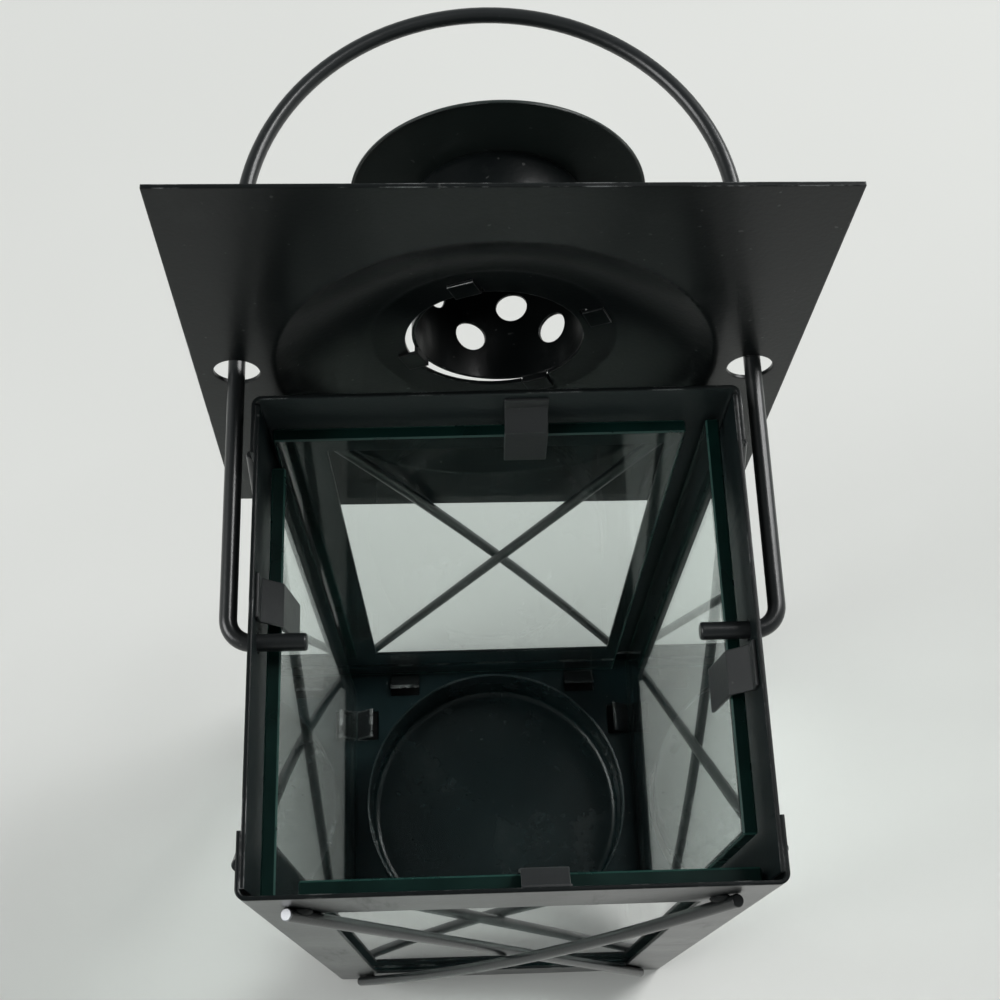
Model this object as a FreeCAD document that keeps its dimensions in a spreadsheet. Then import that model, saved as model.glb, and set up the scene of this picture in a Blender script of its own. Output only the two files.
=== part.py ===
import FreeCAD, Part
import os
import re
import Sketcher

# A square candle lantern in black sheet steel, with its lid lifted and swung back.
# Millimetres, +Z up, -Y is the front, and the origin is the middle of the underside.

Vector = FreeCAD.Vector
Placement = FreeCAD.Placement
Rotation = FreeCAD.Rotation
across, deep, upright = Vector(1, 0, 0), Vector(0, 1, 0), Vector(0, 0, 1)

driving_sizes = [
    ("body_width", 70, "outside of the box, both ways"),
    ("body_height", 142, "underside to rim"),
    ("wall_sheet", 0.6, "thickness of the four walls"),
    ("wall_bend", 1.5, "outside radius of the bent corners"),
    ("flange_step", 0.5, "side window's edge to the edge of the strip bent round the corner"),
    ("top_rail", 16, "rim to the window's upper edge"),
    ("bottom_rail", 14, "underside to the window's lower edge"),
    ("stile_width", 9.25, "corner to the window's upright edge"),
    ("tray_sheet", 0.6, "thickness of the base tray"),
    ("tray_lip", 6, "height of the tray's turned-up lip"),
    ("tab_width", 6.6, "width of a lanced tab, along the pane"),
    ("tab_height", 4.2, "height of a lanced tab, and length of its slot"),
    ("tab_room", 2.9, "between the two slots nearest a corner"),
    ("glass_thickness", 2, "pane"),
    ("glass_short", 3, "between a pane's free edge and the next pane"),
    ("glass_drop", 8.5, "rim to the pane's upper edge"),
    ("glass_gap", 0.2, "play between the pane and the tray's lip"),
    ("glass_bevel", 0.25, "ground edge of the pane"),
    ("clip_width", 6.4, "strip clip"),
    ("clip_sheet", 0.5, "strip clip"),
    ("clip_top", 1.5, "rim to the clip's upper end"),
    ("clip_rise", 1.7, "pane's upper edge to the bend that lays the clip on the pane"),
    ("clip_flap", 8, "pane's upper edge to the clip's lower end"),
    ("clip_slope", 45, "degrees that the clip steps off the wall"),
    ("clip_shift", 4.3, "front and back clips, off the wall's middle"),
    ("clip_room", 1.25, "between a side clip and the handle's end"),
    ("rod_diameter", 1.8, "cross rods"),
    ("rod_inset", 5.5, "box's corner to the rods' ends"),
    ("rod_drop", 8, "rim to the rods' upper ends"),
    ("rod_foot", 6, "underside to the rods' lower ends"),
    ("rod_gap", 0.1, "between the two rods where they cross"),
    ("cup_room", 3.4, "between the candle cup and the side panes"),
    ("cup_height", 14, "candle cup"),
    ("cup_sheet", 0.5, "candle cup"),
    ("cup_corner", 2, "outside radius round the cup's floor"),
    ("wire_diameter", 2.5, "handle"),
    ("wire_bend", 3.5, "radius of the handle's two turned-in ends, at the wire's centre"),
    ("bend_gap", 0.1, "between the side wall and the start of that bend"),
    ("leg_length", 66, "pivot to the start of the arch"),
    ("stub_length", 6.8, "handle's ends past the side wall's inner face"),
    ("pivot_drop", 5.5, "rim to the pivot"),
    ("pivot_play", 0.25, "between the wire and its hole, all round"),
    ("handle_rise", 1.5, "degrees that the handle lies above level when swung back"),
    ("roof_overhang", 9, "lid plate past the walls, all round"),
    ("roof_sheet", 0.6, "lid plate"),
    ("leg_hole", 6.8, "holes for the handle's legs"),
    ("dome_margin", 2.1, "flat left between the drawn dome and a leg hole"),
    ("dome_rise", 5, "height of the dome"),
    ("dome_soften", 3, "radius of the dome's bends"),
    ("flue_land", 0.3, "chimney's outside to the edge of the flue hole, were they in line"),
    ("chimney_diameter", 27.2, "outside of the chimney"),
    ("chimney_height", 24.5, "chimney above the ring"),
    ("chimney_sheet", 0.5, "chimney"),
    ("chimney_corner", 2.5, "outside radius round the chimney's closed end"),
    ("chimney_right", 1.3, "chimney's axis to the right of the flue's"),
    ("chimney_front", 0.8, "chimney's axis to the front of the flue's"),
    ("vent_diameter", 5, "round vents in the chimney"),
    ("vent_count", 6, "vents in each of two rows"),
    ("vent_low", 7.2, "ring to the lower row"),
    ("vent_high", 12.8, "ring to the upper row"),
    ("vent_turn", 14, "degrees from a foot to the upper vent next to it"),
    ("foot_width", 4, "chimney's bent feet"),
    ("foot_reach", 2.7, "length of a foot past the chimney's outside"),
    ("foot_room", 0.7, "end of a foot to the edge of the flat ring on the dome"),
    ("foot_count", 4, "feet round the chimney"),
    ("foot_turn", 66, "degrees from the right to the first foot"),
    ("slit_play", 0.3, "between a foot and its slit, all round"),
    ("cap_diameter", 46, "rain disc"),
    ("cap_sheet", 0.6, "rain disc"),
    ("cap_edge", 0.4, "height of the disc's turned-down edge"),
    ("rivet_diameter", 3, "rivet shank"),
    ("rivet_head", 6.5, "rivet heads"),
    ("rivet_rise", 1, "height of a rivet head"),
    ("lid_gap", 0.05, "lid's lower edge to the outermost point of the back cross"),
    ("lid_lean", 3, "degrees that the hanging lid leans back"),
    ("lid_twist", 1.5, "degrees that the hanging lid is lower on its right"),
    ("lid_hang", 0.15, "between the right leg and the upper edge of its hole"),
]

doc = FreeCAD.newDocument("lantern")
sheet = doc.addObject("Spreadsheet::Sheet", "sizes")
for row, (alias, number, note) in enumerate(driving_sizes, 1):
    sheet.set(f"A{row}", note)
    sheet.set(f"B{row}", str(number))
    sheet.setAlias(f"B{row}", alias)
doc.recompute()

aliases = {alias for alias, number, note in driving_sizes}
sub_parts = []


def formula(text):
    """The text with every size named in it turned into a reference to its cell."""
    return re.sub(r"[a-z_]+", lambda word: "sizes." + word[0] if word[0] in aliases else word[0], text)


def amount(text):
    """The number that a formula comes to now."""
    result = sheet.evalExpression(formula(text))
    return float(getattr(result, "Value", result))


def bind(thing, prop, text):
    thing.setExpression(prop, formula(text))


# Sketches: every point and radius is tied to the sheet.

def new_body(label):
    body = doc.addObject("PartDesign::Body", label)
    body.Label = label
    sub_parts.append(body)
    return body


def new_sketch(body, plane, lift="0", turn=0):
    """A sketch on one of the body's own planes, lifted along its normal and turned about its upright."""
    sketch = body.newObject("Sketcher::SketchObject", f"{body.Name}_sketch")
    support = next(item for item in body.Origin.OriginFeatures if item.Role == plane)
    sketch.AttachmentSupport = (support, [""])
    sketch.MapMode = "FlatFace"
    sketch.AttachmentOffset = Placement(Vector(), Rotation(deep, turn))
    bind(sketch, "AttachmentOffset.Base.z", lift)
    return sketch


def tie(sketch, kind, text, *place):
    index = sketch.addConstraint(Sketcher.Constraint(kind, *place, amount(text)))
    bind(sketch, f"Constraints[{index}]", text)


def tie_point(sketch, edge, end, point):
    tie(sketch, "DistanceX", point[0], -1, 1, edge, end)
    tie(sketch, "DistanceY", point[1], -1, 1, edge, end)


def outline(sketch, points):
    """A closed outline of straight lines through points given as formulas."""
    first = sketch.GeometryCount
    places = [Vector(amount(x), amount(y), 0) for x, y in points]
    count = len(points)
    for i in range(count):
        sketch.addGeometry(Part.LineSegment(places[i], places[(i + 1) % count]))
    for i in range(count):
        sketch.addConstraint(Sketcher.Constraint("Coincident", first + i, 2, first + (i + 1) % count, 1))
        tie_point(sketch, first + i, 1, points[i])


def rectangle(sketch, left, right, low, high):
    outline(sketch, [(left, low), (right, low), (right, high), (left, high)])


def circle(sketch, x, y, diameter):
    middle = Vector(amount(x), amount(y), 0)
    index = sketch.addGeometry(Part.Circle(middle, Vector(0, 0, 1), amount(diameter) / 2))
    tie_point(sketch, index, 3, (x, y))
    tie(sketch, "Diameter", diameter, index)


# Features.

def pad(body, sketch, length, midplane=False):
    feature = body.newObject("PartDesign::Pad", f"{body.Name}_pad")
    feature.Profile = sketch
    feature.Midplane = midplane
    bind(feature, "Length", length)
    doc.recompute()
    return feature


def pocket(body, sketch, midplane=False, reverse=False):
    """A cut right through, one way or both ways, which has to take something away."""
    before = body.Shape.Volume
    feature = body.newObject("PartDesign::Pocket", f"{body.Name}_pocket")
    feature.Profile = sketch
    feature.Type = "ThroughAll"
    feature.Midplane = midplane
    feature.Reversed = reverse
    doc.recompute()
    if not body.Shape.Volume < before:
        raise ValueError(f"{body.Label}: a pocket cut nothing")
    return feature


def revolve(body, sketch):
    feature = body.newObject("PartDesign::Revolution", f"{body.Name}_turn")
    feature.Profile = sketch
    feature.ReferenceAxis = (sketch, ["V_Axis"])
    feature.Angle = 360
    doc.recompute()
    return feature


def around(body, feature, count):
    """Copies of a feature round the body's upright axis."""
    pattern = body.newObject("PartDesign::PolarPattern", f"{body.Name}_round")
    pattern.Originals = [feature]
    axis = next(item for item in body.Origin.OriginFeatures if item.Role == "Z_Axis")
    pattern.Axis = (axis, [""])
    pattern.Angle = 360
    bind(pattern, "Occurrences", count)
    body.Tip = pattern
    doc.recompute()
    return pattern


def soften(body, radius, wanted, kind="PartDesign::Fillet", prop="Radius"):
    """A fillet or chamfer on the edges whose shape and place are wanted."""
    base = body.Tip
    names = [f"Edge{i}" for i, edge in enumerate(base.Shape.Edges, 1) if wanted(edge)]
    feature = body.newObject(kind, f"{body.Name}_soft")
    feature.Base = (base, names)
    bind(feature, prop, radius)
    doc.recompute()
    return feature


def is_corner(edge, x, y):
    """An upright edge that far out from the middle, both ways."""
    ends = [vertex.Point for vertex in edge.Vertexes]
    placed = all(abs(abs(end.x) - x) < 0.01 and abs(abs(end.y) - y) < 0.01 for end in ends)
    return placed and abs(ends[-1].z - ends[0].z) > 0.01


def is_ring(edge, radius, height):
    curve = edge.Curve
    return (isinstance(curve, Part.Circle) and abs(curve.Radius - radius) < 0.01
            and abs(curve.Center.z - height) < 0.01)


# The four sides face the front, the right, the back and the left in turn.

sides = {"front": 0, "right": 90, "back": 180, "left": 270}


def on_side(side, shift=0):
    """Turns what is built at the front round to its side, with a shift to the right seen from outside."""
    turn = Rotation(upright, sides[side])
    return Placement(turn.multVec(Vector(shift, 0, 0)), turn)


# Walls.

inside_face = "(body_width / 2 - wall_sheet)"
inside_side = "(body_width / 2 - 2 * wall_sheet)"
window_half = "(body_width / 2 - stile_width)"
window_top = "(body_height - top_rail)"
pivot_height = "(body_height - pivot_drop)"


def face_wall(side):
    """Front or back: a sheet with a window, bent round both corners."""
    body = new_body(f"{side}_wall")
    plan = new_sketch(body, "XY_Plane")
    flange_end = "stile_width - flange_step - body_width / 2"
    outline(plan, [
        ("-body_width / 2", "-body_width / 2"),
        ("body_width / 2", "-body_width / 2"),
        ("body_width / 2", flange_end),
        (inside_face, flange_end),
        (inside_face, "-" + inside_face),
        ("-" + inside_face, "-" + inside_face),
        ("-" + inside_face, flange_end),
        ("-body_width / 2", flange_end),
    ])
    pad(body, plan, "body_height")
    window = new_sketch(body, "XZ_Plane")
    rectangle(window, "-" + window_half, window_half, "bottom_rail", window_top)
    pocket(body, window, midplane=True)
    half, sheet_line = amount("body_width / 2"), amount(inside_face)
    soften(body, "wall_bend", lambda edge: is_corner(edge, half, half))
    soften(body, "wall_bend - wall_sheet", lambda edge: is_corner(edge, sheet_line, sheet_line))
    body.Placement = on_side(side)


def side_wall(side):
    """Left or right: a flat frame behind the flanges, with the handle's pivot hole."""
    body = new_body(f"{side}_wall")
    frame = new_sketch(body, "XZ_Plane", inside_side)
    flat_half = "(body_width / 2 - wall_bend)"
    rectangle(frame, "-" + flat_half, flat_half, "0", "body_height")
    rectangle(frame, "-" + window_half, window_half, "bottom_rail", window_top)
    circle(frame, "0", pivot_height, "wire_diameter + 2 * pivot_play")
    pad(body, frame, "wall_sheet")
    body.Placement = on_side(side)


# Base tray and candle cup. The panes stand between the tray's lip and its tabs.

lip_x = f"({inside_side} - tray_sheet)"
lip_y = f"({inside_face} - tray_sheet)"
stop_x = f"({lip_x} - glass_gap - glass_thickness)"
stop_y = f"({lip_y} - glass_gap - glass_thickness)"

def base_tray():
    body = new_body("base_tray")
    floor = new_sketch(body, "XY_Plane")
    rectangle(floor, "-" + inside_side, inside_side, "-" + inside_face, inside_face)
    pad(body, floor, "tray_lip")
    corner = amount(inside_side), amount(inside_face)
    soften(body, "wall_bend - wall_sheet", lambda edge: is_corner(edge, *corner))
    hollow = new_sketch(body, "XY_Plane", "tray_sheet")
    rectangle(hollow, "-" + lip_x, lip_x, "-" + lip_y, lip_y)
    pocket(body, hollow, reverse=True)
    tab_end = f"({stop_x} - tray_sheet - tab_height - tab_room)"
    slots = new_sketch(body, "XY_Plane")
    tabs = new_sketch(body, "XY_Plane")
    for stop, turned in ((stop_x, False), (stop_y, True)):
        for way in ("", "-"):
            for place in ("", "-"):
                near, far = f"{place}({tab_end} - tab_width)", f"{place}{tab_end}"
                back, fold = f"{way}({stop} - tray_sheet - tab_height)", f"{way}({stop} - tray_sheet)"
                edge = f"{way}{stop}"
                if turned:
                    rectangle(slots, near, far, back, fold)
                    rectangle(tabs, near, far, fold, edge)
                else:
                    rectangle(slots, back, fold, near, far)
                    rectangle(tabs, fold, edge, near, far)
    pocket(body, slots, midplane=True)
    pad(body, tabs, "tray_sheet + tab_height")


def candle_cup():
    body = new_body("candle_cup")
    section = new_sketch(body, "XZ_Plane")
    radius = f"({stop_x} - cup_room)"
    outline(section, [
        ("0", "0"),
        (radius, "0"),
        (radius, "cup_height"),
        (f"{radius} - cup_sheet", "cup_height"),
        (f"{radius} - cup_sheet", "cup_sheet"),
        ("0", "cup_sheet"),
    ])
    revolve(body, section)
    outer, wall = amount(radius), amount("cup_sheet")
    soften(body, "cup_corner", lambda edge: is_ring(edge, outer, 0))
    soften(body, "cup_corner - cup_sheet", lambda edge: is_ring(edge, outer - wall, wall))
    body.Placement = Placement(Vector(0, 0, amount("tray_sheet")), Rotation())


# Panes and their clips. Each pane is pushed into the corner on its right, seen from outside.

def glass(side):
    body = new_body(f"{side}_glass")
    across_lip, facing_stop = (lip_x, stop_y) if side in ("front", "back") else (lip_y, stop_x)
    right = f"({across_lip} - glass_gap)"
    width = f"({stop_x} + {lip_x} - glass_gap - glass_short)"
    plan = new_sketch(body, "XY_Plane", "tray_sheet")
    rectangle(plan, f"{right} - {width}", right, f"-{facing_stop} - glass_thickness", f"-{facing_stop}")
    pad(body, plan, "body_height - glass_drop - tray_sheet")
    soften(body, "glass_bevel", lambda edge: True, "PartDesign::Chamfer", "Size")
    body.Placement = on_side(side)


def clip(side, shift):
    """A strip welded to the wall, stepped over the pane's edge and down its inner face."""
    body = new_body(f"{side}_clip")
    face = inside_face if side in ("front", "back") else inside_side
    reach = "(tray_sheet + glass_gap + glass_thickness)"
    crease = "clip_sheet * tan(clip_slope / 2)"
    section = new_sketch(body, "YZ_Plane")
    wall, pane = f"-{face}", f"({reach} - {face})"
    end, knee = "body_height - glass_drop - clip_flap", "(body_height - glass_drop + clip_rise)"
    bend = f"({knee} + {reach} / tan(clip_slope))"
    outline(section, [
        (wall, "body_height - clip_top"),
        (wall, bend),
        (pane, knee),
        (pane, end),
        (f"{pane} + clip_sheet", end),
        (f"{pane} + clip_sheet", f"{knee} + {crease}"),
        (f"{wall} + clip_sheet", f"{bend} + {crease}"),
        (f"{wall} + clip_sheet", "body_height - clip_top"),
    ])
    pad(body, section, "clip_width", midplane=True)
    body.Placement = on_side(side, shift)


# Cross rods. The straight one lies on the wall, the other is bowed to pass over it.

rod_spread = "(body_width - 2 * rod_inset)"
rod_tall = "(body_height - rod_drop - rod_foot)"
rod_length = f"sqrt({rod_spread} ^ 2 + {rod_tall} ^ 2)"
rod_bow = "(rod_diameter + rod_gap)"


def rod_place(side, slope):
    """Origin at the crossing on the wall, X along the rod and Y out of the wall."""
    along = Vector(amount(rod_spread), 0, slope * amount(rod_tall)).normalize()
    lie = Rotation(along, -deep, along.cross(-deep), "XYZ")
    crossing = Vector(0, -amount("body_width / 2"), amount(f"rod_foot + {rod_tall} / 2"))
    return on_side(side).multiply(Placement(crossing, lie))


def rod_under(side):
    body = new_body(f"{side}_rod_under")
    section = new_sketch(body, "YZ_Plane")
    circle(section, "rod_diameter / 2", "0", "rod_diameter")
    pad(body, section, rod_length, midplane=True)
    body.Placement = rod_place(side, -1)


def rod_over(side):
    body = new_body(f"{side}_rod_over")
    half, foot, crown = f"{rod_length} / 2", "rod_diameter / 2", f"(rod_diameter / 2 + {rod_bow})"
    path = new_sketch(body, "XY_Plane")
    ends = [Vector(-amount(half), amount(foot), 0), Vector(amount(half), amount(foot), 0)]
    path.addGeometry(Part.Arc(ends[1], Vector(0, amount(crown), 0), ends[0]))
    tie_point(path, 0, 1, (half, foot))
    tie_point(path, 0, 2, ("-" + half, foot))
    tie(path, "Radius", f"(({half}) ^ 2 + {rod_bow} ^ 2) / (2 * {rod_bow})", 0)
    section = new_sketch(body, "YZ_Plane")
    circle(section, crown, "0", "rod_diameter")
    sweep(body, section, path)
    body.Placement = rod_place(side, 1)


def sweep(body, section, path):
    doc.recompute()
    feature = body.newObject("PartDesign::AdditivePipe", f"{body.Name}_pipe")
    feature.Profile = section
    feature.Spine = (path, [f"Edge{i}" for i in range(1, len(path.Shape.Edges) + 1)])
    doc.recompute()
    return feature


# Handle, built upright with its pivot on the X axis, then swung back.

leg_x = f"({inside_face} + bend_gap + wire_bend)"

def handle():
    body = new_body("handle")
    path = new_sketch(body, "XZ_Plane")
    bend_x, stub_x = f"({leg_x} - wire_bend)", f"({inside_side} - stub_length)"
    stations = [
        ("-" + stub_x, "0"), ("-" + bend_x, "0"), ("-" + leg_x, "wire_bend"), ("-" + leg_x, "leg_length"),
        (leg_x, "leg_length"), (leg_x, "wire_bend"), (bend_x, "0"), (stub_x, "0"),
    ]
    centres = {1: ("-" + bend_x, "wire_bend"), 3: ("0", "leg_length"), 5: (bend_x, "wire_bend")}
    spots = [Vector(amount(x), amount(y), 0) for x, y in stations]
    for i in range(len(stations) - 1):
        start, end = spots[i], spots[i + 1]
        if i not in centres:
            path.addGeometry(Part.LineSegment(start, end))
            tie_point(path, i, 1, stations[i])
            tie_point(path, i, 2, stations[i + 1])
            continue
        centre = Vector(amount(centres[i][0]), amount(centres[i][1]), 0)
        radius = (start - centre).Length
        outward = Vector(0, 1, 0) if i == 3 else (start + end - centre * 2).normalize()
        path.addGeometry(Part.Arc(end, centre + outward * radius, start))
    for i in centres:
        path.addConstraint(Sketcher.Constraint("Coincident", i - 1, 2, i, 2))
        path.addConstraint(Sketcher.Constraint("Coincident", i, 1, i + 1, 1))
        tie(path, "DistanceY", centres[i][1], -1, 1, i, 3)
    section = new_sketch(body, "YZ_Plane", "-" + stub_x)
    circle(section, "0", "0", "wire_diameter")
    sweep(body, section, path)
    body.Placement = handle_place


# Lid pieces, built level with the plate's underside at Z 0, then hung on the handle.

roof_half = "(body_width / 2 + roof_overhang)"
dome_radius = f"({leg_x} - leg_hole / 2 - dome_margin)"
chimney_shift = "sqrt(chimney_right ^ 2 + chimney_front ^ 2)"
ring_radius = f"(chimney_diameter / 2 + foot_reach + {chimney_shift} + foot_room)"
flue_radius = "(chimney_diameter / 2 - flue_land)"
ring_top = "(dome_rise + roof_sheet)"
chimney_top = f"({ring_top} + chimney_height)"


def roof_plate():
    body = new_body("roof_plate")
    plan = new_sketch(body, "XY_Plane")
    rectangle(plan, "-" + roof_half, roof_half, "-" + roof_half, roof_half)
    circle(plan, "0", "0", "2 * " + dome_radius)
    circle(plan, "-" + leg_x, "0", "leg_hole")
    circle(plan, leg_x, "0", "leg_hole")
    pad(body, plan, "roof_sheet")
    dome = new_sketch(body, "XZ_Plane")
    outline(dome, [
        (dome_radius, "0"),
        (dome_radius, "roof_sheet"),
        (ring_radius, ring_top),
        (flue_radius, ring_top),
        (flue_radius, "dome_rise"),
        (ring_radius, "dome_rise"),
    ])
    revolve(body, dome)
    foot, ring = amount(dome_radius), amount(ring_radius)
    soften(body, "dome_soften", lambda edge: (
        is_ring(edge, foot, 0) or is_ring(edge, ring, amount(ring_top))))
    soften(body, "dome_soften", lambda edge: (
        is_ring(edge, foot, amount("roof_sheet")) or is_ring(edge, ring, amount("dome_rise"))))
    wall = "(chimney_diameter / 2 - chimney_sheet / 2)"
    turns = [amount("foot_turn") + 360 * i / amount("foot_count") for i in range(int(amount("foot_count")))]
    slits = new_sketch(body, "XY_Plane")
    for turn in turns:
        outline(slits, [chimney_point(turn, f"{wall} {out} (chimney_sheet / 2 + slit_play)",
                                      f"{side}(foot_width / 2 + slit_play)")
                        for out, side in (("-", "-"), ("+", "-"), ("+", ""), ("-", ""))])
    pocket(body, slits, midplane=True)
    body.Placement = lid_place


def chimney_point(turn, out, along):
    """A point of the lid, from its distance out of the chimney's axis and along a line square to that."""
    x = f"chimney_right + ({out}) * cos({turn}) - ({along}) * sin({turn})"
    y = f"-chimney_front + ({out}) * sin({turn}) + ({along}) * cos({turn})"
    return x, y


def chimney():
    body = new_body("chimney")
    shell = new_sketch(body, "XZ_Plane")
    inner = "(chimney_diameter / 2 - chimney_sheet)"
    outline(shell, [
        (inner, ring_top),
        ("chimney_diameter / 2", ring_top),
        ("chimney_diameter / 2", chimney_top),
        ("rivet_diameter / 2", chimney_top),
        ("rivet_diameter / 2", f"{chimney_top} - chimney_sheet"),
        (inner, f"{chimney_top} - chimney_sheet"),
    ])
    revolve(body, shell)
    outer, wall, top = amount("chimney_diameter / 2"), amount("chimney_sheet"), amount(chimney_top)
    soften(body, "chimney_corner", lambda edge: is_ring(edge, outer, top))
    soften(body, "chimney_corner - chimney_sheet", lambda edge: is_ring(edge, outer - wall, top - wall))
    half_step = 180 / amount("vent_count")
    for height, turn in (("vent_high", 0), ("vent_low", half_step)):
        vent = new_sketch(body, "YZ_Plane", turn=amount("vent_turn") + turn)
        circle(vent, "0", f"{ring_top} + {height}", "vent_diameter")
        around(body, pocket(body, vent, reverse=True), "vent_count")
    foot = new_sketch(body, "XZ_Plane")
    outline(foot, [
        (inner, f"{ring_top} + chimney_sheet"),
        (inner, "dome_rise - chimney_sheet"),
        ("chimney_diameter / 2 + foot_reach", "dome_rise - chimney_sheet"),
        ("chimney_diameter / 2 + foot_reach", "dome_rise"),
        ("chimney_diameter / 2", "dome_rise"),
        ("chimney_diameter / 2", f"{ring_top} + chimney_sheet"),
    ])
    around(body, pad(body, foot, "foot_width", midplane=True), "foot_count")
    body.Placement = chimney_place.multiply(Placement(Vector(), Rotation(upright, amount("foot_turn"))))


def cap_disc():
    body = new_body("cap_disc")
    section = new_sketch(body, "XZ_Plane")
    edge = "cap_diameter / 2"
    outline(section, [
        ("rivet_diameter / 2", chimney_top),
        (f"{edge} - cap_edge", chimney_top),
        (edge, f"{chimney_top} - cap_edge"),
        (edge, f"{chimney_top} - cap_edge + cap_sheet"),
        (f"{edge} - cap_edge", f"{chimney_top} + cap_sheet"),
        ("rivet_diameter / 2", f"{chimney_top} + cap_sheet"),
    ])
    revolve(body, section)
    body.Placement = chimney_place


def cap_rivet():
    """A shank with a low conical head under the chimney's end and one above the disc."""
    body = new_body("cap_rivet")
    section = new_sketch(body, "XZ_Plane")
    low, high = f"({chimney_top} - chimney_sheet)", f"({chimney_top} + cap_sheet)"
    head, crown = "rivet_head / 2", "rivet_head / 4"
    outline(section, [
        ("0", f"{low} - rivet_rise"),
        (crown, f"{low} - rivet_rise"),
        (head, low),
        ("rivet_diameter / 2", low),
        ("rivet_diameter / 2", high),
        (head, high),
        (crown, f"{high} + rivet_rise"),
        ("0", f"{high} + rivet_rise"),
    ])
    revolve(body, section)
    body.Placement = chimney_place


# Where the handle and the lid lie at rest.

pivot = Vector(0, 0, amount(pivot_height))
swing = Rotation(across, amount("handle_rise") - 90)
handle_place = Placement(pivot, swing)
hang = f"(leg_hole / 2 - wire_diameter / 2 - lid_hang - {leg_x} * sin(lid_twist))"
lid_back = f"body_width / 2 + 2 * rod_diameter + rod_gap + lid_gap + {roof_half} * sin(lid_lean)"
lid_lift = f"({lid_back} - {hang} * sin(handle_rise)) / cos(handle_rise)"
lid_centre = pivot + swing.multVec(Vector(0, amount(hang), amount(lid_lift)))
lid_turn = Rotation(across, -amount("lid_lean") - 90).multiply(Rotation(upright, amount("lid_twist")))
lid_place = Placement(lid_centre, lid_turn)
chimney_place = lid_place.multiply(Placement(
    Vector(amount("chimney_right"), -amount("chimney_front"), 0), Rotation()))

for side in ("front", "back"):
    face_wall(side)
for side in ("left", "right"):
    side_wall(side)
base_tray()
candle_cup()
for side in sides:
    glass(side)
past_handle = amount("wire_diameter / 2 + clip_room + clip_width / 2")
clip("front", amount("clip_shift"))
clip("back", -amount("clip_shift"))
clip("left", -past_handle)
clip("right", -past_handle)
for side in sides:
    rod_under(side)
    rod_over(side)
handle()
roof_plate()
chimney()
cap_disc()
cap_rivet()
doc.recompute()

for thing in doc.Objects:
    if "Invalid" in thing.State or "Error" in thing.State:
        raise ValueError(f"{thing.Label} did not build: {thing.State}")
for part in sub_parts:
    if part.Shape.isNull() or not part.Shape.isValid() or len(part.Shape.Solids) != 1:
        raise ValueError(f"{part.Label} is not one valid solid")

os.makedirs("parts", exist_ok=True)
for part in sub_parts:
    part.Shape.exportStep(os.path.join("parts", part.Label + ".step"))
    print(part.Label, round(part.Shape.Volume, 1))
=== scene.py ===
import math

import bmesh
import bpy
from mathutils import Matrix, Vector


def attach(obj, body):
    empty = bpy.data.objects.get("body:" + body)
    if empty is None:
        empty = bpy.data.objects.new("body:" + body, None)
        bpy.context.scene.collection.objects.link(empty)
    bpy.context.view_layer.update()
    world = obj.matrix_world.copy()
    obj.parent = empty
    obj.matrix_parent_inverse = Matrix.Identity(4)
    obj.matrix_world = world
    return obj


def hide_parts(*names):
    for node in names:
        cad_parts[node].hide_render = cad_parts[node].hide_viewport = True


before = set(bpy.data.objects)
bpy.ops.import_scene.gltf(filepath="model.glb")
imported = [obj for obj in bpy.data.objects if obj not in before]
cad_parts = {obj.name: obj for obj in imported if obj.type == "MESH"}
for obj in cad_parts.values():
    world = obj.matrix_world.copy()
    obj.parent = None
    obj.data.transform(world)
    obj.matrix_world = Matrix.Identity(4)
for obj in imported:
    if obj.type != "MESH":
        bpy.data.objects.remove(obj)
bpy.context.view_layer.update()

mm = 0.001
sides = ("front", "back", "left", "right")
squareOn = 0.9  # a normal with this much along an axis faces that way
quarterTurns = [Matrix.Rotation(math.radians(90 * quarter), 4, "Z") for quarter in range(4)]
print("lantern: frame loaded,", len(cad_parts), "nodes")


# a shader socket that Python's operators work on
class Strand:
    def __init__(self, tree, socket=None):
        self.tree = tree
        self.socket = socket

    def node(self, kind, settings=None, sockets=None, out=0):
        made = self.tree.nodes.new(kind)
        for name, value in (settings or {}).items():
            setattr(made, name, value)
        for name, value in (sockets or {}).items():
            if isinstance(value, Strand):
                self.tree.links.new(value.socket, made.inputs[name])
            else:
                made.inputs[name].default_value = value
        return Strand(self.tree, made.outputs[out])

    def maths(self, kind, first, second):
        return self.node("ShaderNodeMath", {"operation": kind}, {0: first, 1: second})

    def __add__(self, other):
        return self.maths("ADD", self, other)

    def __radd__(self, other):
        return self.maths("ADD", other, self)

    def __sub__(self, other):
        return self.maths("SUBTRACT", self, other)

    def __rsub__(self, other):
        return self.maths("SUBTRACT", other, self)

    def __mul__(self, other):
        return self.maths("MULTIPLY", self, other)

    def __rmul__(self, other):
        return self.maths("MULTIPLY", other, self)


mixFactor, mixFirst, mixSecond, mixResult = 0, 6, 7, 2  # sockets of a Mix node for colours
noiseMiddle = 0.5


def newMaterial(name):
    material = bpy.data.materials.new(name)
    material.use_nodes = True
    tree = material.node_tree
    place = Strand(tree).node("ShaderNodeTexCoord", out="Object")
    return material, tree.nodes["Principled BSDF"], place


def feed(shader, name, strand):
    strand.tree.links.new(strand.socket, shader.inputs[name])


def setOn(shader, values):  # what is the same all over the surface
    for name, value in values.items():
        shader.inputs[name].default_value = value


def noise(place, grain):
    scale, detail, roughness = grain
    return place.node("ShaderNodeTexNoise", None, {
        "Vector": place, "Scale": scale, "Detail": detail, "Roughness": roughness})


def band(value, limits):
    low, high = limits
    return value.node("ShaderNodeMapRange", {"interpolation_type": "SMOOTHSTEP"}, {
        "Value": value, "From Min": low, "From Max": high})


def mixColour(factor, first, second):
    return factor.node("ShaderNodeMix", {"data_type": "RGBA"}, {
        mixFactor: factor, mixFirst: first, mixSecond: second}, out=mixResult)


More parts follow.
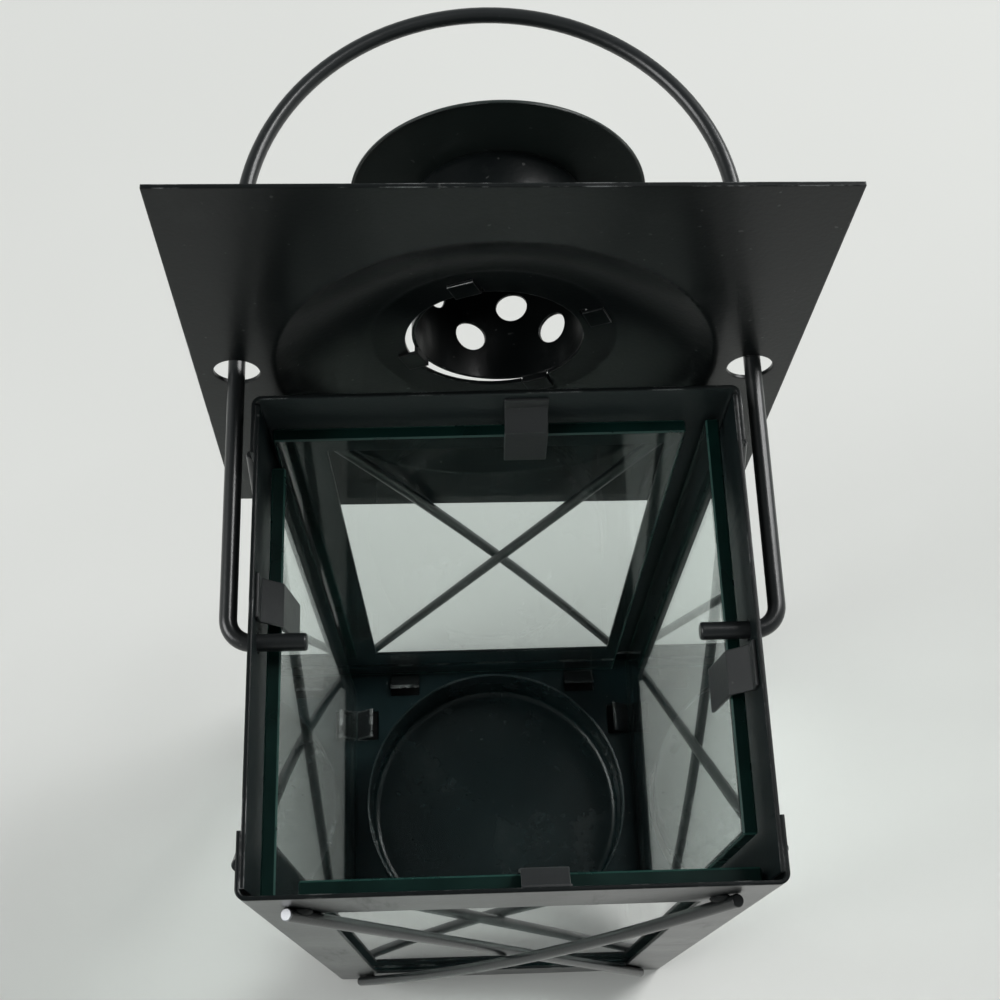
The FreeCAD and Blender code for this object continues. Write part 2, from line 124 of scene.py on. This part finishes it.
# satin black paint: mottled, a little orange peel, dust, worn bright on its cut edges
def satinPaint(name, look):
    material, shader, place = newMaterial(name)
    cloud = noise(place, look["cloud"])
    peel = noise(place, look["peel"])
    specks = band(noise(place, look["grit"]), look["gritBand"])
    drawn = place.node("ShaderNodeMapping", None, {
        "Vector": place, "Scale": look["scuffStretch"]})
    scuffs = band(noise(drawn, look["scuff"]), look["scuffBand"])
    patches = band(noise(place, look["patch"]), look["patchBand"])
    rounded = place.node("ShaderNodeBevel", {"samples": look["wearSamples"]}, {
        "Radius": look["wearReach"]})
    flat = place.node("ShaderNodeNewGeometry", out="Normal")
    facing = place.node("ShaderNodeVectorMath", {"operation": "DOT_PRODUCT"}, {
        0: rounded, 1: flat}, out="Value")
    rubbed = band(noise(place, look["rub"]), look["rubBand"])
    wear = band(1 - facing, look["wearBand"]) * rubbed
    mottled = mixColour(cloud, look["deep"], look["pale"])
    handled = mixColour(patches * look["patchDust"], mottled, look["dustColour"])
    speckled = mixColour(specks * look["speckDust"], handled, look["dustColour"])
    feed(shader, "Base Color", mixColour(wear, speckled, look["steel"]))
    feed(shader, "Metallic", wear * look["steelShare"])
    feed(shader, "Roughness", look["roughness"] + (cloud - noiseMiddle) * look["roughSpread"]
         + scuffs * look["scuffRough"] + patches * look["patchRough"])
    feed(shader, "Normal", place.node("ShaderNodeBump", None, {
        "Height": peel + specks * look["speckHeight"], "Distance": look["peelDepth"],
        "Strength": look["peelStrength"], "Normal": rounded}))
    setOn(shader, {"Specular IOR Level": look["shine"], "Coat Weight": look["coat"],
                   "Coat Roughness": look["coatRough"]})
    return material


# each pattern has its scale, detail and roughness, and the band of it that shows
sheetLook = {
    "deep": (0.0018, 0.0029, 0.0031, 1), "pale": (0.0058, 0.0078, 0.0081, 1),
    "dustColour": (0.16, 0.165, 0.16, 1), "steel": (0.55, 0.56, 0.56, 1), "steelShare": 0.9,
    "cloud": (55.0, 4.0, 0.6),
    "peel": (1500.0, 2.0, 0.5), "peelDepth": 0.00004, "peelStrength": 0.5,
    "grit": (900.0, 1.0, 0.5), "gritBand": (0.735, 0.82), "speckDust": 0.3, "speckHeight": 0.5,
    "scuff": (160.0, 5.0, 0.7), "scuffBand": (0.58, 0.75), "scuffStretch": (1.0, 1.0, 0.12),
    "scuffRough": 0.1,
    "patch": (70.0, 6.0, 0.72), "patchBand": (0.57, 0.74), "patchDust": 0.05, "patchRough": 0.06,
    "rub": (140.0, 4.0, 0.65), "rubBand": (0.52, 0.68),
    "wearReach": 0.00035, "wearBand": (0.06, 0.25), "wearSamples": 6,
    "roughness": 0.31, "roughSpread": 0.14, "shine": 0.26, "coat": 0.08, "coatRough": 0.14,
}
wireLook = dict(
    sheetLook, deep=(0.008, 0.0095, 0.0102, 1), pale=(0.016, 0.0182, 0.019, 1),
    gritBand=(0.75, 0.82), scuffStretch=(0.2, 1.0, 1.0), wearReach=0.0002,
    roughness=0.3, roughSpread=0.1, shine=0.5, coat=0.1)
# painted light: the cup's paint is tinted green for the light that comes in through the green panes
cupGreenLightLook = dict(
    sheetLook, deep=(0.0008, 0.0031, 0.0035, 1), pale=(0.003, 0.0078, 0.0083, 1),
    speckDust=0.12, patchDust=0.055, rubBand=(0.46, 0.68), wearBand=(0.1, 0.25), roughness=0.26)
# painted light: the tray's paint is tinted green for the light that comes in through the green
# panes
trayGreenLightLook = dict(
    sheetLook, deep=(0.0022, 0.0076, 0.0087, 1), pale=(0.006, 0.016, 0.018, 1),
    shine=0.13, coat=0.02)
tabGlintLook = dict(  # painted glint: the tabs' paint is lighter and rubbed to steel at the edges, for the light the bent tabs catch
    sheetLook, pale=(0.03, 0.033, 0.034, 1), rubBand=(0.5, 0.64),
    wearReach=0.001, wearBand=(0.02, 0.12), roughness=0.2, shine=0.6)
# painted light: the cap is a paler copy of the sheet paint, for the light that falls on it
capLitLook = dict(sheetLook, deep=(0.013, 0.0185, 0.017, 1), pale=(0.026, 0.034, 0.0316, 1))
insideLightLook = dict(  # the walls are duller inside, where nothing has polished the paint; their paler, greener colour there is painted light
    sheetLook, deep=(0.0036, 0.0068, 0.0073, 1), pale=(0.0092, 0.014, 0.0148, 1),
    roughness=0.44, shine=0.12, coat=0.0)
railLightLook = dict(  # painted light: the back wall is paler inside, for the light that falls on its inner face
    insideLightLook, deep=(0.012, 0.0172, 0.0176, 1), pale=(0.027, 0.0355, 0.036, 1), shine=0.2)
footGlintLook = dict(  # ends of the chimney's feet, steel-bright: painted highlight on their outer edges
    sheetLook, rubBand=(0.34, 0.46), wearReach=0.0003, wearBand=(0.01, 0.06))
clipLook = dict(
    sheetLook, deep=(0.016, 0.0175, 0.0182, 1), pale=(0.034, 0.0365, 0.0375, 1),
    roughness=0.38, shine=0.4)
beadLook = dict(
    sheetLook, peel=(2600.0, 2.0, 0.5), peelDepth=0.00012,
    roughness=0.6, roughSpread=0.2, shine=0.15, coat=0.0)

sheetPaint = satinPaint("sheetPaint", sheetLook)
wirePaint = satinPaint("wirePaint", wireLook)
cupGreenLightPaint = satinPaint("cupGreenLightPaint", cupGreenLightLook)
trayGreenLightPaint = satinPaint("trayGreenLightPaint", trayGreenLightLook)
tabGlintPaint = satinPaint("tabGlintPaint", tabGlintLook)
capLitPaint = satinPaint("capLitPaint", capLitLook)
insideLightPaint = satinPaint("insideLightPaint", insideLightLook)
railLightPaint = satinPaint("railLightPaint", railLightLook)
footGlintPaint = satinPaint("footGlintPaint", footGlintLook)
clipPaint = satinPaint("clipPaint", clipLook)
beadPaint = satinPaint("beadPaint", beadLook)


# clear pane that throws only a light shadow
def paneGlass(name, look):
    material, shader, place = newMaterial(name)
    smears = band(noise(place, look["smear"]), look["smearBand"])
    feed(shader, "Roughness", smears * look["smearRough"])
    setOn(shader, {"Base Color": look["tint"], "Transmission Weight": 1.0, "IOR": look["bend"]})
    glass = Strand(place.tree, shader.outputs["BSDF"])
    clear = place.node("ShaderNodeBsdfTransparent", None, {"Color": look["shade"]})
    shadow = place.node("ShaderNodeLightPath", out="Is Shadow Ray")
    mixed = place.node("ShaderNodeMixShader", None, {0: shadow, 1: glass, 2: clear})
    feed(place.tree.nodes["Material Output"], "Surface", mixed)
    return material


paneLook = {
    "tint": (0.895, 0.965, 0.94, 1), "shade": (0.93, 0.955, 0.945, 1), "bend": 1.5,
    "smear": (90.0, 4.0, 0.6), "smearBand": (0.55, 0.8), "smearRough": 0.05,
}
clearPane = paneGlass("paneGlass", paneLook)


# ground edge of a pane, deep green where the sheet is seen end on
def paneEdge(name, look):
    material, shader, place = newMaterial(name)
    streak = noise(place, look["streak"])
    feed(shader, "Base Color", mixColour(streak, look["deep"], look["pale"]))
    feed(shader, "Roughness", look["roughness"] + streak * look["roughSpread"])
    setOn(shader, {"Transmission Weight": look["through"], "IOR": look["bend"],
                   "Specular IOR Level": look["shine"]})
    return material


edgeLook = {
    "deep": (0.0004, 0.0035, 0.003, 1), "pale": (0.0016, 0.024, 0.019, 1),
    "streak": (120.0, 3.0, 0.5), "roughness": 0.18, "roughSpread": 0.25,
    "through": 0.15, "bend": 1.5, "shine": 0.2,
}
# painted highlight: the chamfered arrises are a paler green, for the light they catch
arrisHighlightLook = dict(
    edgeLook, deep=(0.006, 0.03, 0.025, 1), pale=(0.03, 0.11, 0.09, 1),
    streak=(300.0, 3.0, 0.5), through=0.3, shine=0.5)
# painted reflection: the panes' bottom faces are a paler teal, for the light seen in them
paneFootHighlightLook = dict(
    edgeLook, deep=(0.012, 0.03, 0.03, 1), pale=(0.04, 0.085, 0.082, 1),
    streak=(160.0, 3.0, 0.5), through=0.1, shine=0.3)
greenEdge = paneEdge("paneEdge", edgeLook)
arrisHighlight = paneEdge("paneArris", arrisHighlightLook)
paneFootHighlight = paneEdge("paneFoot", paneFootHighlightLook)


# cut end of a rod where the paint has come off
def rubbedSteel(name, look):
    material, shader, place = newMaterial(name)
    grain = noise(place, look["grain"])
    feed(shader, "Base Color", mixColour(grain, look["dull"], look["bright"]))
    feed(shader, "Roughness", look["roughness"] + grain * look["roughSpread"])
    setOn(shader, {"Metallic": 1.0})
    return material


steelLook = {
    "dull": (0.2, 0.205, 0.215, 1), "bright": (0.5, 0.51, 0.53, 1),
    "grain": (1800.0, 3.0, 0.5), "roughness": 0.32, "roughSpread": 0.3,
}
bareSteel = rubbedSteel("rubbedSteel", steelLook)


# painted shade: a dark felt-like sheet that closes the tray's slots, standing for the shadow under
# the tray
def slotShadePaint(name, look):
    material, shader, place = newMaterial(name)
    fibre = noise(place, look["fibre"])
    feed(shader, "Base Color", mixColour(fibre, look["deep"], look["pale"]))
    feed(shader, "Normal", place.node("ShaderNodeBump", None, {
        "Height": fibre, "Distance": look["nap"]}))
    setOn(shader, {"Roughness": look["roughness"], "Specular IOR Level": look["shine"]})
    return material


slotShadeLook = {
    "deep": (0.0015, 0.0016, 0.0018, 1), "pale": (0.006, 0.0062, 0.0066, 1),
    "fibre": (2400.0, 4.0, 0.7), "nap": 0.0002, "roughness": 0.95, "shine": 0.1,
}
slotShadeSheet = slotShadePaint("slotShadePaint", slotShadeLook)
print("lantern: paints and glass mixed")


# modelling helpers
def clearSelection():
    bpy.ops.object.select_all(action="DESELECT")


def takeUp(piece, mode="OBJECT"):
    clearSelection()
    piece.select_set(True)
    bpy.context.view_layer.objects.active = piece
    bpy.ops.object.mode_set(mode=mode)


def pick(piece, part, test):  # part is verts or faces of the mesh being edited
    bpy.ops.mesh.select_mode(type={"verts": "VERT", "faces": "FACE"}[part])
    bpy.ops.mesh.select_all(action="DESELECT")
    shape = bmesh.from_edit_mesh(piece.data)
    for one in getattr(shape, part):
        if test(one):
            one.select_set(True)
    shape.select_flush_mode()
    bmesh.update_edit_mesh(piece.data)


def applyAll(piece):
    for modifier in list(piece.modifiers):
        bpy.ops.object.modifier_apply(modifier=modifier.name)


sameSpot = 0.0000001  # metres


def joinSpots():  # merges the vertices of the piece in hand that share a place
    bpy.ops.object.mode_set(mode="EDIT")
    bpy.ops.mesh.select_all(action="SELECT")
    bpy.ops.mesh.remove_doubles(threshold=sameSpot)
    bpy.ops.object.mode_set(mode="OBJECT")


def smoothShade(piece, corner):
    takeUp(piece)
    bpy.ops.object.shade_smooth_by_angle(angle=math.radians(corner))
    even = piece.modifiers.new("evenFaces", "WEIGHTED_NORMAL")
    even.keep_sharp = True
    applyAll(piece)


def finishEdges(piece, width, segments, corner):
    takeUp(piece)
    rim = piece.modifiers.new("cutEdges", "BEVEL")
    rim.width, rim.segments = width, segments
    rim.limit_method, rim.angle_limit = "ANGLE", math.radians(corner)
    rim.use_clamp_overlap = True
    applyAll(piece)
    joinSpots()
    smoothShade(piece, corner)


joinGap = 0.000002  # metres
flatAngle = math.radians(0.4)


def mergedCopy(nodeName, pieceName):  # a CAD node's shape as one joined mesh
    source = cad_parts[nodeName]
    piece = bpy.data.objects.new(pieceName, source.data.copy())
    bpy.context.scene.collection.objects.link(piece)
    takeUp(piece)
    if piece.data.has_custom_normals:
        bpy.ops.mesh.customdata_custom_splitnormals_clear()
    bpy.ops.object.mode_set(mode="EDIT")
    bpy.ops.mesh.select_all(action="SELECT")
    bpy.ops.mesh.remove_doubles(threshold=joinGap)
    bpy.ops.mesh.dissolve_limited(angle_limit=flatAngle)
    bpy.ops.object.mode_set(mode="OBJECT")
    return piece


def finish(piece, body, paint, nodeName):
    piece.data.materials.clear()
    piece.data.materials.append(paint)
    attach(piece, body)
    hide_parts(nodeName)


def repaint(piece, paint, test):  # another paint on the faces that pass the test
    piece.data.materials.append(paint)
    newest = len(piece.data.materials) - 1
    for face in piece.data.polygons:
        if test(face):
            face.material_index = newest


# the lanced tabs lean in over their slots
def leanTabs(piece, shape):
    takeUp(piece, "EDIT")
    for axis in (0, 1):
        for way in (1, -1):
            stop = shape["stop"][axis] * way

            def onTab(vertex):
                spot = vertex.co / mm
                return spot.z > shape["above"] and abs(spot[axis] - stop) < shape["near"]

            pick(piece, "verts", onTab)
            push = Vector((0, 0, -shape["dip"])) * mm
            push[axis] = -way * shape["lean"] * mm
            bpy.ops.transform.translate(value=push)
    bpy.ops.object.mode_set(mode="OBJECT")


# painted glint: the tabs' faces get the lighter tab paint
def glintTabs(piece, shape):
    def onTab(face):
        spot = face.center / mm
        return spot.z > shape["root"] and max(abs(spot.x), abs(spot.y)) < shape["inside"]

    repaint(piece, tabGlintPaint, onTab)


tabShape = {
    "stop": (31.0, 31.6), "above": 4.0, "near": 0.8, "lean": 3.2, "dip": 1.3,
    "root": 0.9, "inside": 32.0,
}


# a clip's flap springs off the pane at its lower end
def springClip(piece, below, push):
    takeUp(piece, "EDIT")
    pick(piece, "verts", lambda vertex: vertex.co.z / mm < below)
    bpy.ops.transform.translate(value=Vector(push) * mm)
    bpy.ops.object.mode_set(mode="OBJECT")


flapEnd = 126.0
clipSpring = {"front_clip": (0, 1.2, 0), "left_clip": (1.1, 0, 0), "right_clip": (-1.0, 0, 0)}


# a wall's inside has its own paint, paler with painted light
def paintInsideLight(piece, axis, paint):
    repaint(piece, paint, lambda face: (
        face.normal[axis] * math.copysign(1, face.center[axis]) < -squareOn))


wallInside = {
    "front_wall": (1, insideLightPaint), "back_wall": (1, railLightPaint),
    "left_wall": (0, insideLightPaint), "right_wall": (0, insideLightPaint),
}

lidWay = Vector((0, 0.9986, -0.0523))  # out of the lid, along the axes of dome and chimney


def fromAxis(spot, axis):  # distance in mm from a line along lidWay
    return (spot / mm - Vector(axis)).cross(lidWay).length


# the dome is drawn to a soft curve, nearly flat where it meets its crown
def roundDome(piece, shape):
    takeUp(piece, "EDIT")
    for level in shape["levels"]:
        spot = Vector(shape["axis"]) + lidWay * level
        bpy.ops.mesh.select_all(action="SELECT")
        bpy.ops.mesh.bisect(plane_co=spot * mm, plane_no=lidWay)
    mesh = bmesh.from_edit_mesh(piece.data)
    for vertex in mesh.verts:
        out = fromAxis(vertex.co, shape["axis"])
        share = (shape["foot"] - out) / (shape["foot"] - shape["crown"])
        if 0 < share < 1:
            arch = 4 * share * (1 - share)  # 1 half way up, 0 at foot and crown
            vertex.co += lidWay * shape["bulge"] * arch * mm
    bmesh.update_edit_mesh(piece.data)
    bpy.ops.object.mode_set(mode="OBJECT")


domeShape = {
    "axis": (0, 41.05, 136.57), "levels": (1.0, 1.6, 2.2, 2.8, 3.4, 4.0, 4.6),
    "foot": 32.0, "crown": 19.0, "bulge": 0.9,
}


# painted highlight: the outer ends of the chimney's feet get steel-bright paint
def glintFeet(piece, shape):
    repaint(piece, footGlintPaint, lambda face: fromAxis(face.center, shape["axis"]) > shape["end"])


footShape = {"axis": (1.32, 41.09, 137.33), "end": 15.9}

# sheet pieces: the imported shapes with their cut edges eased
wallEase, trayEase, clipEase, capEase, rivetEase = 0.00011, 0.00009, 0.00012, 0.00015, 0.0007
sheetSegments, sheetCorner = 2, 32
sheetPieces = {  # piece, body, width of the eased edges, paint
    "front_wall": ("frontWall", "lantern", wallEase, sheetPaint),
    "back_wall": ("backWall", "lantern", wallEase, sheetPaint),
    "left_wall": ("leftWall", "lantern", wallEase, sheetPaint),
    "right_wall": ("rightWall", "lantern", wallEase, sheetPaint),
    "base_tray": ("baseTray", "lantern", trayEase, trayGreenLightPaint),
    "front_clip": ("frontClip", "lantern", clipEase, clipPaint),
    "back_clip": ("backClip", "lantern", clipEase, clipPaint),
    "left_clip": ("leftClip", "lantern", clipEase, clipPaint),
    "right_clip": ("rightClip", "lantern", clipEase, clipPaint),
    "roof_plate": ("roofPlate", "lid", None, sheetPaint),
    "chimney": ("chimneyPipe", "lid", None, sheetPaint),
    "cap_disc": ("capDisc", "lid", capEase, capLitPaint),
    "cap_rivet": ("capRivet", "lid", rivetEase, sheetPaint),
}
for nodeName, (pieceName, body, width, paint) in sheetPieces.items():
    piece = mergedCopy(nodeName, pieceName)
    if nodeName == "base_tray":
        leanTabs(piece, tabShape)
    if nodeName == "roof_plate":
        roundDome(piece, domeShape)
    if nodeName in clipSpring:
        springClip(piece, flapEnd, clipSpring[nodeName])
    if width:
        finishEdges(piece, width, sheetSegments, sheetCorner)
    else:
        smoothShade(piece, sheetCorner)
    finish(piece, body, paint, nodeName)
    if nodeName == "base_tray":
        glintTabs(piece, tabShape)
    if nodeName in wallInside:
        paintInsideLight(piece, *wallInside[nodeName])
    if nodeName == "chimney":
        glintFeet(piece, footShape)
print("lantern: sheet pieces done")

# rods, handle and cup: width, segments and least corner of their eased edges
rodEase, handleEase, cupEase = (0.0002, 2, 50), (0.0004, 3, 50), (0.00015, 3, 50)
for side in sides:
    for lie in ("under", "over"):
        nodeName = side + "_rod_" + lie
        piece = mergedCopy(nodeName, side + "Rod" + lie.capitalize())
        finishEdges(piece, *rodEase)
        finish(piece, "lantern", wirePaint, nodeName)
piece = mergedCopy("handle", "handleWire")
finishEdges(piece, *handleEase)
finish(piece, "handle", wirePaint, "handle")
piece = mergedCopy("candle_cup", "candleCup")
finishEdges(piece, *cupEase)
finish(piece, "lantern", cupGreenLightPaint, "candle_cup")
print("lantern: wires and cup done")


# the paint is rubbed off one cut end, on the front cross
def bareEnd(piece, shape):
    repaint(piece, bareSteel, lambda face: (
        (face.center / mm - Vector(shape["spot"])).length < shape["reach"]))


endShape = {"spot": (-29.5, -35.9, 134.0), "reach": 1.02}
bareEnd(bpy.data.objects["frontRodUnder"], endShape)


# the cut through a bead leaves a few faces doubled on the same corners
def dropTwins(piece):
    known = set()

    def again(face):
        corners = frozenset(face.verts)
        seen = corners in known
        known.add(corners)
        return seen

    joinSpots()
    bpy.ops.object.mode_set(mode="EDIT")
    pick(piece, "faces", again)
    bpy.ops.mesh.delete(type="ONLY_FACE")
    bpy.ops.mesh.select_all(action="SELECT")
    bpy.ops.mesh.normals_make_consistent(inside=False)
    bpy.ops.object.mode_set(mode="OBJECT")


# weld beads in the corner between each rod's end and the wall
def weldBead(shape):
    clearSelection()
    bpy.ops.mesh.primitive_uv_sphere_add(
        segments=shape["segments"], ring_count=shape["rings"], radius=shape["radius"] * mm)
    bead = bpy.context.object
    bpy.ops.object.mode_set(mode="EDIT")
    bpy.ops.transform.resize(value=shape["stretch"])
    bpy.ops.mesh.bisect(
        plane_co=(0, shape["cut"] * mm, 0), plane_no=(0, 1, 0), use_fill=True, clear_outer=True)
    bpy.ops.mesh.select_all(action="SELECT")
    bpy.ops.transform.vertex_random(offset=shape["lumps"] * mm, seed=shape["seed"])
    bpy.ops.mesh.select_all(action="SELECT")
    bpy.ops.mesh.normals_make_consistent(inside=False)
    bpy.ops.object.mode_set(mode="OBJECT")
    even = bead.modifiers.new("round", "SUBSURF")
    even.levels = even.render_levels = 1
    takeUp(bead)
    applyAll(bead)
    dropTwins(bead)
    bpy.ops.object.shade_smooth()
    return bead


def placeBeads(shape):
    first = weldBead(shape)
    slant = math.atan2(shape["tall"], shape["half"])
    count = 0
    for turn in quarterTurns:
        for right in (1, -1):
            for top in (1, -1):
                along = Vector((math.cos(slant) * right, 0, math.sin(slant) * top))
                beside = Vector((-along.z * right, 0, along.x * right)) * top
                spot = Vector((shape["half"] * right, -shape["wall"],
                               shape["middle"] + shape["tall"] * top))
                spot += -along * shape["back"] + beside * shape["beside"]
                lie = Matrix.Rotation(-slant * right * top, 4, "Y")
                bead = bpy.data.objects.new("weldBead%02d" % count, first.data.copy())
                bpy.context.scene.collection.objects.link(bead)
                bead.data.transform(turn @ Matrix.Translation(spot * mm) @ lie)
                bead.data.materials.append(beadPaint)
                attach(bead, "lantern")
                count += 1
    bpy.data.objects.remove(first)
    print("lantern: beads laid,", count)


beadShape = {
    "segments": 20, "rings": 12, "radius": 1.0, "stretch": (2.3, 0.85, 0.8), "cut": 0.06,
    "lumps": 0.09, "seed": 5,
    "half": 29.5, "tall": 64.0, "middle": 70.0, "wall": 35.0, "back": 3.2, "beside": 0.75,
}
placeBeads(beadShape)


# painted shade: dark patches within the tray's thickness, one in each slot, for the shadow seen
# through the slots
def slotShadePatches(shape):
    clearSelection()
    bpy.ops.mesh.primitive_cube_add(size=1.0)
    first = bpy.context.object
    bpy.ops.object.mode_set(mode="EDIT")
    bpy.ops.transform.resize(value=Vector((shape["long"], shape["wide"], shape["thick"])) * mm)
    pick(first, "faces", lambda face: face.normal.z > squareOn)
    bpy.ops.mesh.inset(thickness=shape["rim"] * mm)
    bpy.ops.transform.translate(value=(0, 0, shape["crown"] * mm))
    bpy.ops.object.mode_set(mode="OBJECT")
    patches = []
    for quarter, turn in enumerate(quarterTurns):
        out = shape["stop"][quarter % 2] - shape["sheet"] - shape["long"] / 2
        for way in (1, -1):
            spot = Vector((out, way * shape["middle"], shape["height"]))
            patch = bpy.data.objects.new("patch", first.data.copy())
            bpy.context.scene.collection.objects.link(patch)
            patch.data.transform(turn @ Matrix.Translation(spot * mm))
            patches.append(patch)
    bpy.data.objects.remove(first)
    clearSelection()
    for patch in patches:
        patch.select_set(True)
    bpy.context.view_layer.objects.active = patches[0]
    bpy.ops.object.join()
    shadeCover = bpy.context.object
    shadeCover.name = "slotShadeSheet"
    shadeCover.data.materials.append(slotShadeSheet)
    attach(shadeCover, "lantern")


slotShadeShape = {
    "long": 4.2, "wide": 6.6, "thick": 0.12, "rim": 0.35, "crown": 0.05, "height": 0.08,
    "stop": (31.0, 31.6), "sheet": 0.6, "middle": 20.0,
}
slotShadePatches(slotShadeShape)
print("lantern: beads and felt done")

# panes, with green edges, and painted highlights on the arrises and the foot
paneCorner = 20
for side in sides:
    piece = mergedCopy(side + "_glass", side + "Pane")
    smoothShade(piece, paneCorner)
    finish(piece, "lantern", clearPane, side + "_glass")
    through = 1 if side in ("front", "back") else 0  # the axis one looks along
    repaint(piece, greenEdge, lambda face: abs(face.normal[through]) < squareOn)
    repaint(piece, arrisHighlight, lambda face: max(abs(part) for part in face.normal) <= squareOn)
    repaint(piece, paneFootHighlight, lambda face: face.normal.z < -squareOn)
print("lantern: panes done")


# pale floor, soft room and three lamps
def setFloor(look):
    clearSelection()
    bpy.ops.mesh.primitive_plane_add(size=look["size"], location=(0, 0, -look["drop"]))
    floor = bpy.context.object
    floor.name = "floor"
    material, shader, place = newMaterial("floorCard")
    feed(shader, "Base Color", mixColour(noise(place, look["cloud"]), look["low"], look["high"]))
    setOn(shader, {"Roughness": look["roughness"], "Specular IOR Level": look["shine"]})
    floor.data.materials.append(material)


floorLook = {
    "size": 6.0, "drop": 0.00002, "cloud": (8.0, 2.0, 0.5),
    "low": (0.69, 0.695, 0.672, 1), "high": (0.745, 0.75, 0.727, 1),
    "roughness": 0.85, "shine": 0.15,
}
setFloor(floorLook)


def setRoom(look):
    world = bpy.data.worlds.new("softRoom")
    bpy.context.scene.world = world
    world.use_nodes = True
    way = Strand(world.node_tree).node("ShaderNodeTexCoord", out="Generated")
    height = way.node("ShaderNodeSeparateXYZ", None, {0: way}, out="Z")
    backdrop = world.node_tree.nodes["Background"]
    feed(backdrop, "Color", mixColour(band(height, look["rise"]), look["walls"], look["ceiling"]))
    setOn(backdrop, {"Strength": 1.0})


roomLook = {
    "walls": (0.47, 0.495, 0.49, 1), "ceiling": (0.12, 0.13, 0.13, 1), "rise": (0.1, 0.95),
}
setRoom(roomLook)


def setLamps(lamps):
    for name, (place, aim, size, power) in lamps.items():
        lamp = bpy.data.lights.new(name, "AREA")
        lamp.shape, lamp.size, lamp.energy = "SQUARE", size, power
        box = bpy.data.objects.new(name, lamp)
        bpy.context.scene.collection.objects.link(box)
        box.location = place
        box.rotation_euler = (Vector(aim) - Vector(place)).to_track_quat("-Z", "Y").to_euler()


softLamps = {  # place, aim, size and power
    "windowBox": ((1.0, 0.75, 0.95), (0, 0.05, 0.1), 0.7, 13.2),
    "fillBox": ((-1.1, -0.1, 0.9), (0, 0.05, 0.08), 0.7, 9.3),
    "stripBox": ((0.42, 0.3, 0.9), (0, 0.05, 0.12), 0.22, 2.2),
}
setLamps(softLamps)


# camera, steep above the front, turned and rolled a little
def setCamera(look):
    turn, dip, roll = (math.radians(look[key]) for key in ("turn", "dip", "roll"))
    ahead = Vector((math.sin(turn) * math.cos(dip), math.cos(turn) * math.cos(dip), -math.sin(dip)))
    level = Vector((math.cos(turn), -math.sin(turn), 0))
    down = ahead.cross(level)
    right = math.cos(roll) * level + math.sin(roll) * down
    up = math.sin(roll) * level - math.cos(roll) * down
    lens = bpy.data.cameras.new("camera")
    lens.sensor_width = look["sensor"]
    lens.lens = look["sensor"] * look["focal"]
    lens.clip_start = look["nearest"]
    holder = bpy.data.objects.new("camera", lens)
    bpy.context.scene.collection.objects.link(holder)
    facing = Matrix((right, up, -ahead)).transposed().to_4x4()
    holder.matrix_world = Matrix.Translation(Vector(look["place"]) * mm) @ facing
    bpy.context.scene.camera = holder


cameraLook = {
    "turn": 3.42, "dip": 68.13, "roll": -1.75, "place": (-4.6, -57.6, 330.8),
    "focal": 1.466, "sensor": 36.0, "nearest": 0.01,
}
setCamera(cameraLook)
bpy.context.scene.view_settings.view_transform = "Standard"
print("lantern: studio and camera set")
